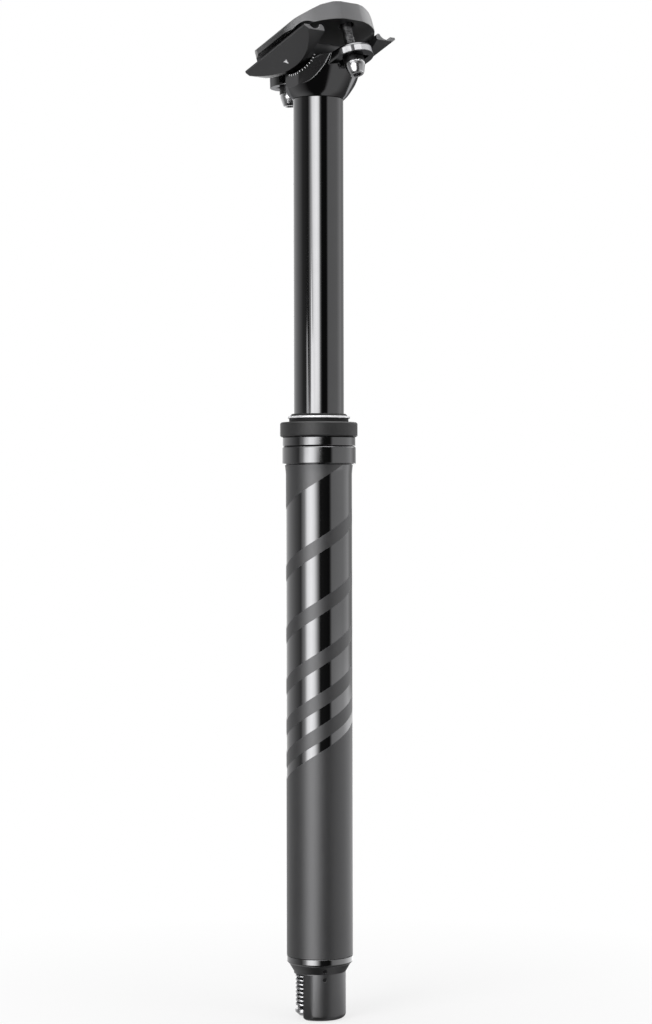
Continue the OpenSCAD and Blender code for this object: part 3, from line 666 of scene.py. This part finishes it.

# %% [markdown]
# ### Threads on the two clamp bolts
# The bolts are M5 with a pitch of 0.8 mm, and their thread shows between each ear and the clamp. The
# ridge is a three-sided profile half sunk in the plain shank. Each bolt leans, so its thread is
# turned by the same angle about the swivel point and starts where the shank leaves the ear. The
# ridge and the faces of the shank above that point are painted much darker than the plated head:
# this is painted shade, a painted reflection of the dark clamp that the plated thread mirrors.

# %% Sweep the threads
PITCH = 0.8 * MM
SHANK_R = 2.4 * MM
RIDGE_R = 0.3 * MM
RIDGE_SUNK = 0.07 * MM
RIDGE_SIDES = 3
RIDGE_STEPS = 24.0
THREAD_START = 6.5 * MM
thread_ends = {"rear_bolt": 30.3 * MM, "front_bolt": 24.7 * MM}
for bolt, thread_end in thread_ends.items():
    shank = dressed[bolt].data
    shank.materials.append(rolled_thread.material)
    # Faces above the ear take the dark thread finish, which is painted shade
    for face in shank.polygons:
        face.material_index = int(along_bolt(bolt, face.center)[0] > THREAD_START)
    swivel, line = bolt_line(bolt)
    length = thread_end - THREAD_START
    ridge = grow(bolt + "_thread", helix, {
        "Turns": length / PITCH, "Steps per turn": RIDGE_STEPS, "Radius": SHANK_R - RIDGE_SUNK,
        "Height": length, "Wire radius": RIDGE_R, "Wire sides": RIDGE_SIDES,
        "Place": swivel + line * THREAD_START, "Lean": Vector((0, lean_of(line), 0)),
        "Finish": rolled_thread.material})
    keep(ridge, body_of[bolt], "bolt_steel")

# %% [markdown]
# ### The return spring
# The coil that pushes the release plunger back shows in the window of the foot. It replaces the
# coarse coil of the solids with a round wire. When the plunger rises the real coil shortens towards
# its fixed upper end, but this piece keeps its full length.

# %% Wind the spring
spring_low, spring_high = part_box("return_spring")
WIRE_R = 0.6 * MM
WIRE_SIDES = 12
SPRING_TURNS = 8.0
SPRING_STEPS = 40.0
spring_mid = (spring_low + spring_high) / 2
coil_r = (spring_high.x - spring_low.x) / 2 - WIRE_R
coil_height = spring_high.z - spring_low.z - 2 * WIRE_R
coil = grow("return_spring_wound", helix, {
    "Turns": SPRING_TURNS, "Steps per turn": SPRING_STEPS, "Radius": coil_r, "Height": coil_height,
    "Wire radius": WIRE_R, "Wire sides": WIRE_SIDES,
    "Place": Vector((spring_mid.x, spring_mid.y, spring_low.z + WIRE_R)), "Lean": Vector((0, 0, 0)),
    "Finish": finishes["spring_steel"].material})
keep(coil, body_of["return_spring"], "spring_steel", "return_spring")
lift = next(joint for joint in frame["joints"] if joint["name"] == "plunger_lift")["range_m"][1]
1 - lift / (spring_high.z - spring_low.z)
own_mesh(coil)
print("coil radius mm:", round(coil_r / MM, 2), "height mm:", round(coil_height / MM, 2))

# %% [markdown]
# ## Printed marks
# A rider sets the saddle's angle by a row of ticks along the trough of the head and a pointer on the
# side of the cradle. The marks are white ink, a few hundredths of a millimetre thick. They could be
# painted in the shader, but as thin plates they stay sharp at any distance. Geometry Nodes set one
# tick on each point of a row, turn each to face the tilt axis, and then push every corner out to
# the cheek, which is flat in front and slopes inwards at the rear.

# %% The tick tree
ink = coating("white_ink", 0.72, 0.82, 0.5, 0.06, 0.15, 0.1)
TILT_Z = joint_at["saddle_tilt"][2]
CHEEK_Y = 16 * MM
CHEEK_BEND_X = -5 * MM
CHEEK_SLOPE = 4.8 / 13

ticks, size = new_tree("tick_row", {
    "Count": WHOLE, "First turn": NUMBER, "Step": NUMBER, "Ring radius": NUMBER,
    "Length": NUMBER, "Width": NUMBER, "Ink": NUMBER, "Side": NUMBER, "Finish": SKIN})
row = ticks.node("GeometryNodeMeshLine", {}, {"Count": size["Count"]})
index = ticks.node("GeometryNodeInputIndex")["Index"]
turn = size["First turn"] + index * size["Step"]
plate_size = ticks.node("ShaderNodeCombineXYZ", {}, {
    "X": size["Width"], "Y": size["Ink"] * 2.0, "Z": size["Length"]})
plate = ticks.node("GeometryNodeMeshCube", {}, {
    "Size": plate_size["Vector"], "Vertices X": 2, "Vertices Y": 2, "Vertices Z": 3})
spin = ticks.node("ShaderNodeCombineXYZ", {}, {"Y": turn})
set_down = ticks.node("GeometryNodeInstanceOnPoints", {}, {
    "Points": row["Mesh"], "Instance": plate["Mesh"], "Rotation": spin["Vector"]})
sine = ticks.node("ShaderNodeMath", {"operation": "SINE"}, {0: turn})["Value"]
cosine = ticks.node("ShaderNodeMath", {"operation": "COSINE"}, {0: turn})["Value"]
reach = size["Ring radius"] + size["Length"] * 0.5
ring_place = ticks.node("ShaderNodeCombineXYZ", {}, {
    "X": sine * reach * -1.0, "Z": TILT_Z - cosine * reach})
on_ring = ticks.node("GeometryNodeSetPosition", {}, {
    "Geometry": set_down["Instances"], "Position": ring_place["Vector"]})
loose = ticks.node("GeometryNodeRealizeInstances", {}, {"Geometry": on_ring["Geometry"]})
corner = ticks.node("ShaderNodeSeparateXYZ", {}, {
    0: ticks.node("GeometryNodeInputPosition")["Position"]})
sunk = (CHEEK_BEND_X - corner["X"]).most(0.0) * CHEEK_SLOPE
to_cheek = ticks.node("ShaderNodeCombineXYZ", {}, {"Y": (CHEEK_Y - sunk) * size["Side"]})
on_cheek = ticks.node("GeometryNodeSetPosition", {}, {
    "Geometry": loose["Geometry"], "Offset": to_cheek["Vector"]})
inked = ticks.node("GeometryNodeSetMaterial", {}, {
    "Geometry": on_cheek["Geometry"], "Material": size["Finish"]})
ticks.node("NodeGroupOutput", {}, {"Geometry": inked["Geometry"]})
print("tick sizes:", list(size))

# %% Print the ticks on both cheeks
TICK_COUNT = 13
FIRST_TICK = math.radians(-8)
TICK_STEP = math.radians(6)
TICK_RING_R = 14.1 * MM
TICK_LENGTH = 0.8 * MM
TICK_WIDTH = 0.3 * MM
TICK_INK = 0.03 * MM
SIDES = {"left": 1.0, "right": -1.0}
for side, sign in SIDES.items():
    marks = grow("tick_marks_" + side, ticks, {
        "Count": TICK_COUNT, "First turn": FIRST_TICK, "Step": TICK_STEP, "Ring radius": TICK_RING_R,
        "Length": TICK_LENGTH, "Width": TICK_WIDTH, "Ink": TICK_INK, "Side": sign,
        "Finish": ink.material})
    keep(marks, "post", "head_gloss")

# %% [markdown]
# The pointer is a small triangle of the same ink on each sloping side of the cradle. Three corners
# and a thickness make it, set in the cradle's own plane, which leans with the saddle rails.

# %% Set the pointers on the cradle
RAIL_TILT = math.radians(20)
RAIL_Z = 201.8 * MM
CLAMP_BACK = 0.9 * MM
FLANK_HIGH = Vector((0, 28 * MM, -2.8 * MM))
FLANK_LOW = Vector((0, 15.7 * MM, -10.9 * MM))
POINTER_X = 1.8 * MM
POINTER_DOWN = 0.59
POINTER_HALF = 1.15 * MM
POINTER_CORNERS = [(-1.0, -1.0), (1.0, -1.0), (0.0, 1.1)]
POINTER_INK = 0.04 * MM
rail_turn = Matrix.Rotation(RAIL_TILT, 3, "Y")


def in_frame(place):
    return rail_turn @ place + Vector((0, 0, RAIL_Z))


for side, sign in SIDES.items():
    slope = FLANK_LOW - FLANK_HIGH
    down = Vector((0, slope.y * sign, slope.z)).normalized()
    out = Vector((0, -down.z * sign, down.y * sign))
    middle = FLANK_HIGH.lerp(FLANK_LOW, POINTER_DOWN)
    middle = Vector((POINTER_X - CLAMP_BACK, middle.y * sign, middle.z))
    made = bmesh.new()
    rims = []
    for rise in (-POINTER_INK, POINTER_INK):
        corners = [middle + out * rise + (Vector((across, 0, 0)) + down * drop) * POINTER_HALF
                   for across, drop in POINTER_CORNERS]
        rims.append([made.verts.new(in_frame(corner)) for corner in corners])
    made.faces.new(rims[0])
    made.faces.new(rims[1][::-1])
    for i in range(len(POINTER_CORNERS)):
        made.faces.new((rims[0][i], rims[1][i], rims[1][i - 1], rims[0][i - 1]))
    bmesh.ops.recalc_face_normals(made, faces=made.faces[:])
    mesh = bpy.data.meshes.new("pointer_" + side)
    made.to_mesh(mesh)
    made.free()
    mesh.materials.append(ink.material)
    pointer = bpy.data.objects.new("pointer_" + side, mesh)
    bpy.context.scene.collection.objects.link(pointer)
    keep(pointer, "clamp", "clamp_satin")
    print("pointer", side, "at mm:", [round(value / MM, 1) for value in in_frame(middle)])

# %% [markdown]
# ## Studio
# Polished black shows nothing but what stands round it, so the studio matters as much as the finish.
# It begins with a white room and a pale floor. Both are plain white to the camera and dimmer as a
# source of light, which a Light Path node can tell apart. Near the post the floor takes real light,
# so that it keeps the shadow, and further out it melts into the room. Mirrors don't see the floor:
# they see the tent of the next step.

# %% White room
ROOM_LEVEL = 0.6
WHITE = (1, 1, 1, 1)
scene = bpy.context.scene
scene.view_settings.view_transform = "Standard"
world = bpy.data.worlds.new("white_room")
scene.world = world
world.use_nodes = True
room = Graph(world.node_tree)


def seen_white(graph):
    path = graph.node("ShaderNodeLightPath")
    return (path["Is Camera Ray"] + path["Is Glossy Ray"] + path["Is Transmission Ray"]).least(1.0)


room_ground = world.node_tree.nodes["Background"]
room_ground.inputs["Color"].default_value = WHITE
room.feed(room_ground.inputs["Strength"], seen_white(room) * (1 - ROOM_LEVEL) + ROOM_LEVEL)
print("the room gives", ROOM_LEVEL, "of the light that it shows")

# %% Pale floor
FLOOR_HALF = 30.0
FLOOR_GAP = 0.2 * MM
FLOOR_Z = cad_low.z - FLOOR_GAP
FLOOR_COLOUR = (0.86, 0.86, 0.86, 1)
FLOOR_GLOW = 0.72
SHADOW_R = 0.3
bpy.ops.mesh.primitive_plane_add(size=2 * FLOOR_HALF, location=(0, 0, FLOOR_Z))
floor = bpy.context.object
floor.name = "floor"
pale = bpy.data.materials.new("pale_floor")
pale.use_nodes = True
ground = Graph(pale.node_tree)
pale.node_tree.nodes.remove(pale.node_tree.nodes["Principled BSDF"])
spot = ground.node("ShaderNodeTexCoord")["Object"]
away = ground.node("ShaderNodeVectorMath", {"operation": "LENGTH"}, {0: spot})["Value"]
lit = ground.node("ShaderNodeBsdfDiffuse", {}, {"Color": FLOOR_COLOUR})["BSDF"]
glow = ground.node("ShaderNodeEmission", {}, {"Color": WHITE, "Strength": 1.0})["Emission"]
share = (away / SHADOW_R).least(1.0) * (1 - FLOOR_GLOW) + FLOOR_GLOW
mixed = ground.node("ShaderNodeMixShader", {}, {0: seen_white(ground) * share, 1: lit, 2: glow})
ground.feed(pale.node_tree.nodes["Material Output"].inputs["Surface"], mixed["Shader"])
floor.data.materials.append(pale)
floor.visible_glossy = False
print("floor at mm:", round(FLOOR_Z / MM, 2))

# %% [markdown]
# ### A tent that only mirrors see
# Round the post stands a tent that lights nothing and shows only in reflections. It is far wider
# than the post and goes far below the floor, which mirrors don't see, so each tube mirrors the same
# place of it all along. One ramp per storey sets how bright the wall is from the back over the left
# of the camera (minus 90 degrees) and the front to the right: a bright panel left of the camera, a
# black flag just right of it, grey walls. Each becomes an upright stripe on every tube.

# %% How bright the tent is, by storey and by degrees from the camera
TENT_R = 3.0
TENT_LOW = -6.0
TENT_TOP = 4.5
TENT_SIDES = 180
TENT_FULL = 6.0
PANEL_LOW, PANEL_TOP, PANEL_FADE = -0.95, 0.85, 0.15
STEP_Z, STEP_FADE = 0.1, 0.04
FOOT_Z, FOOT_FADE = -0.45, 0.1
UPPER_STOPS = [
    (-180, 2.0), (-160, 1.2), (-118, 0.75), (-96, 0.42), (-76, 0.12), (-46, 0.05), (-38, 0.8),
    (-27, 4.2), (-9, 5.0), (1, 4.2), (9, 0.4), (15, 0.02), (38, 0.02), (46, 0.5), (92, 0.55),
    (118, 0.9), (138, 0.5), (180, 0.4)]
LOW_LEFT_STOPS = [
    (-180, 2.0), (-160, 1.2), (-118, 0.8), (-88, 0.36), (-66, 0.15), (-51, 1.2), (-41, 4.4),
    (-28, 5.2), (-17, 4.2), (-4, 1.0), (3, 0.04), (37, 0.02)]
LOWER_STOPS = LOW_LEFT_STOPS + [(45, 0.6), (92, 0.8), (118, 1.2), (138, 0.5), (180, 0.4)]
FOOT_STOPS = LOW_LEFT_STOPS + [(45, 0.75), (92, 1.4), (118, 2.4), (150, 2.4), (180, 1.6)]
UNDER_STOPS = [
    (-180, 0.5), (-120, 0.5), (-80, 0.2), (-50, 0.02), (35, 0.02), (45, 0.4), (90, 0.4),
    (120, 0.15), (150, 0.15), (180, 0.5)]
OVER_STOPS = [
    (-180, 0.3), (-120, 0.2), (-80, 0.3), (-40, 1.2), (-5, 0.9), (20, 0.1), (60, 0.1),
    (110, 0.6), (140, 1.6), (180, 1.0)]
print("brightest place of the upper storey:", max(level for degrees, level in UPPER_STOPS))


# %% Props that only mirrors see
def mirror_only(name, made, stage_material):
    mesh = bpy.data.meshes.new(name)
    made.to_mesh(mesh)
    made.free()
    mesh.materials.append(stage_material)
    prop = bpy.data.objects.new(name, mesh)
    scene.collection.objects.link(prop)
    prop.visible_camera = False
    prop.visible_diffuse = False
    prop.visible_shadow = False
    prop.visible_transmission = False


def glowing(name):
    cloth = bpy.data.materials.new(name)
    cloth.use_nodes = True
    graph = Graph(cloth.node_tree)
    cloth.node_tree.nodes.remove(cloth.node_tree.nodes["Principled BSDF"])
    return cloth, graph


print("ready:", mirror_only.__name__, glowing.__name__)

# %% Sew the tent
cloth, walls = glowing("tent_walls")
wall = walls.node("ShaderNodeSeparateXYZ", {}, {0: walls.node("ShaderNodeTexCoord")["Object"]})
to_right = wall["X"] * VIEW_RIGHT.x + wall["Y"] * VIEW_RIGHT.y
to_front = wall["X"] * VIEW_FROM.x + wall["Y"] * VIEW_FROM.y
round_share = to_right.turn_from(to_front) / (2 * math.pi) + 0.5


def wall_levels(stops):
    ramp = walls.node("ShaderNodeValToRGB", {
        "stops": [(degrees / 360 + 0.5, level / TENT_FULL) for degrees, level in stops]},
        {"Fac": round_share})
    return ramp["Color"]


def rises(height, start, fade):
    return ((height - start) / fade).least(1.0).most(0.0)


levels = wall_levels(UPPER_STOPS)
levels = walls.blend(rises(wall["Z"], STEP_Z, STEP_FADE), wall_levels(LOWER_STOPS), levels)
levels = walls.blend(rises(wall["Z"], FOOT_Z, FOOT_FADE), wall_levels(FOOT_STOPS), levels)
levels = walls.blend(rises(wall["Z"], PANEL_TOP, PANEL_FADE), levels, wall_levels(OVER_STOPS))
levels = walls.blend(rises(wall["Z"], PANEL_LOW, PANEL_FADE), wall_levels(UNDER_STOPS), levels)
shine = walls.node("ShaderNodeEmission", {}, {"Color": levels, "Strength": TENT_FULL})
walls.feed(cloth.node_tree.nodes["Material Output"].inputs["Surface"], shine["Emission"])
made = bmesh.new()
bmesh.ops.create_cone(made, cap_ends=False, segments=TENT_SIDES, radius1=TENT_R, radius2=TENT_R,
                      depth=TENT_TOP - TENT_LOW,
                      matrix=Matrix.Translation((0, 0, (TENT_TOP + TENT_LOW) / 2)))
bmesh.ops.create_circle(made, cap_ends=True, segments=TENT_SIDES, radius=TENT_R,
                        matrix=Matrix.Translation((0, 0, TENT_LOW)))
mirror_only("tent", made, cloth)
print("tent from", TENT_LOW, "to", TENT_TOP, "m, radius", TENT_R)

# %% [markdown]
# A round panel overhead and slim panels on booms above the camera light what leans back: the rims
# and the rounded walls of the bolt ears. The booms follow the arch that such a wall mirrors, and the
# gap between them draws the thin dark line on the ear.

# %% Hang the panels
OVERHEAD_R = 2.4
OVERHEAD_LEVEL = 4.5
BOOM_R = 2.9
BOOM_HALF = 0.18
# Each boom has a level, and spans whose ends are degrees from the camera and a height
BOOMS = {
    "boom_front": (6.0, [((-62, 1.35), (-12, 2.35)), ((9, 2.6), (60, 2.75))]),
    "boom_side": (4.0, [((60, 2.75), (105, 2.1)), ((105, 2.1), (150, 1.1))]),
}


def panel_cloth(name, level):
    cloth, graph = glowing(name)
    shine = graph.node("ShaderNodeEmission", {}, {"Color": WHITE, "Strength": level})
    graph.feed(cloth.node_tree.nodes["Material Output"].inputs["Surface"], shine["Emission"])
    return cloth


def at_turn(degrees, height):
    turn = math.radians(degrees)
    return (VIEW_FROM * math.cos(turn) + VIEW_RIGHT * math.sin(turn)) * BOOM_R + Vector((0, 0, height))


made = bmesh.new()
bmesh.ops.create_circle(made, cap_ends=True, segments=TENT_SIDES, radius=OVERHEAD_R,
                        matrix=Matrix.Translation((0, 0, TENT_TOP)))
mirror_only("overhead", made, panel_cloth("overhead_panel", OVERHEAD_LEVEL))
for name, (level, spans) in BOOMS.items():
    made = bmesh.new()
    for (left, left_z), (right, right_z) in spans:
        corners = [(left, left_z - BOOM_HALF), (right, right_z - BOOM_HALF),
                   (right, right_z + BOOM_HALF), (left, left_z + BOOM_HALF)]
        made.faces.new([made.verts.new(at_turn(*corner)) for corner in corners])
    mirror_only(name, made, panel_cloth(name + "_cloth", level))
print("panels:", ["overhead", *BOOMS])

# %% [markdown]
# Two large lamps light what isn't a mirror: a key from high on the left, which also draws the soft
# shadow to the right, and a weaker fill from the right. They don't show in reflections, because the
# tent already stands for them there.

# %% Lamps
LAMPS = {
    "key": {"front": 1.2, "right": -0.9, "up": 1.1, "side": 0.8, "watts": 14},
    "fill": {"front": 1.0, "right": 1.3, "up": 0.5, "side": 0.9, "watts": 6},
}


def lamp(name, front, right, up, side, watts):
    place = VIEW_FROM * front + VIEW_RIGHT * right + Vector((0, 0, up))
    light = bpy.data.lights.new(name, "AREA")
    light.shape = "SQUARE"
    light.size = side
    light.energy = watts
    stand = bpy.data.objects.new(name, light)
    scene.collection.objects.link(stand)
    stand.location = place
    stand.rotation_euler = (-place).to_track_quat("-Z", "Y").to_euler()
    stand.visible_glossy = False


for name, sizes in LAMPS.items():
    lamp(name, **sizes)
print("lamps:", list(LAMPS))
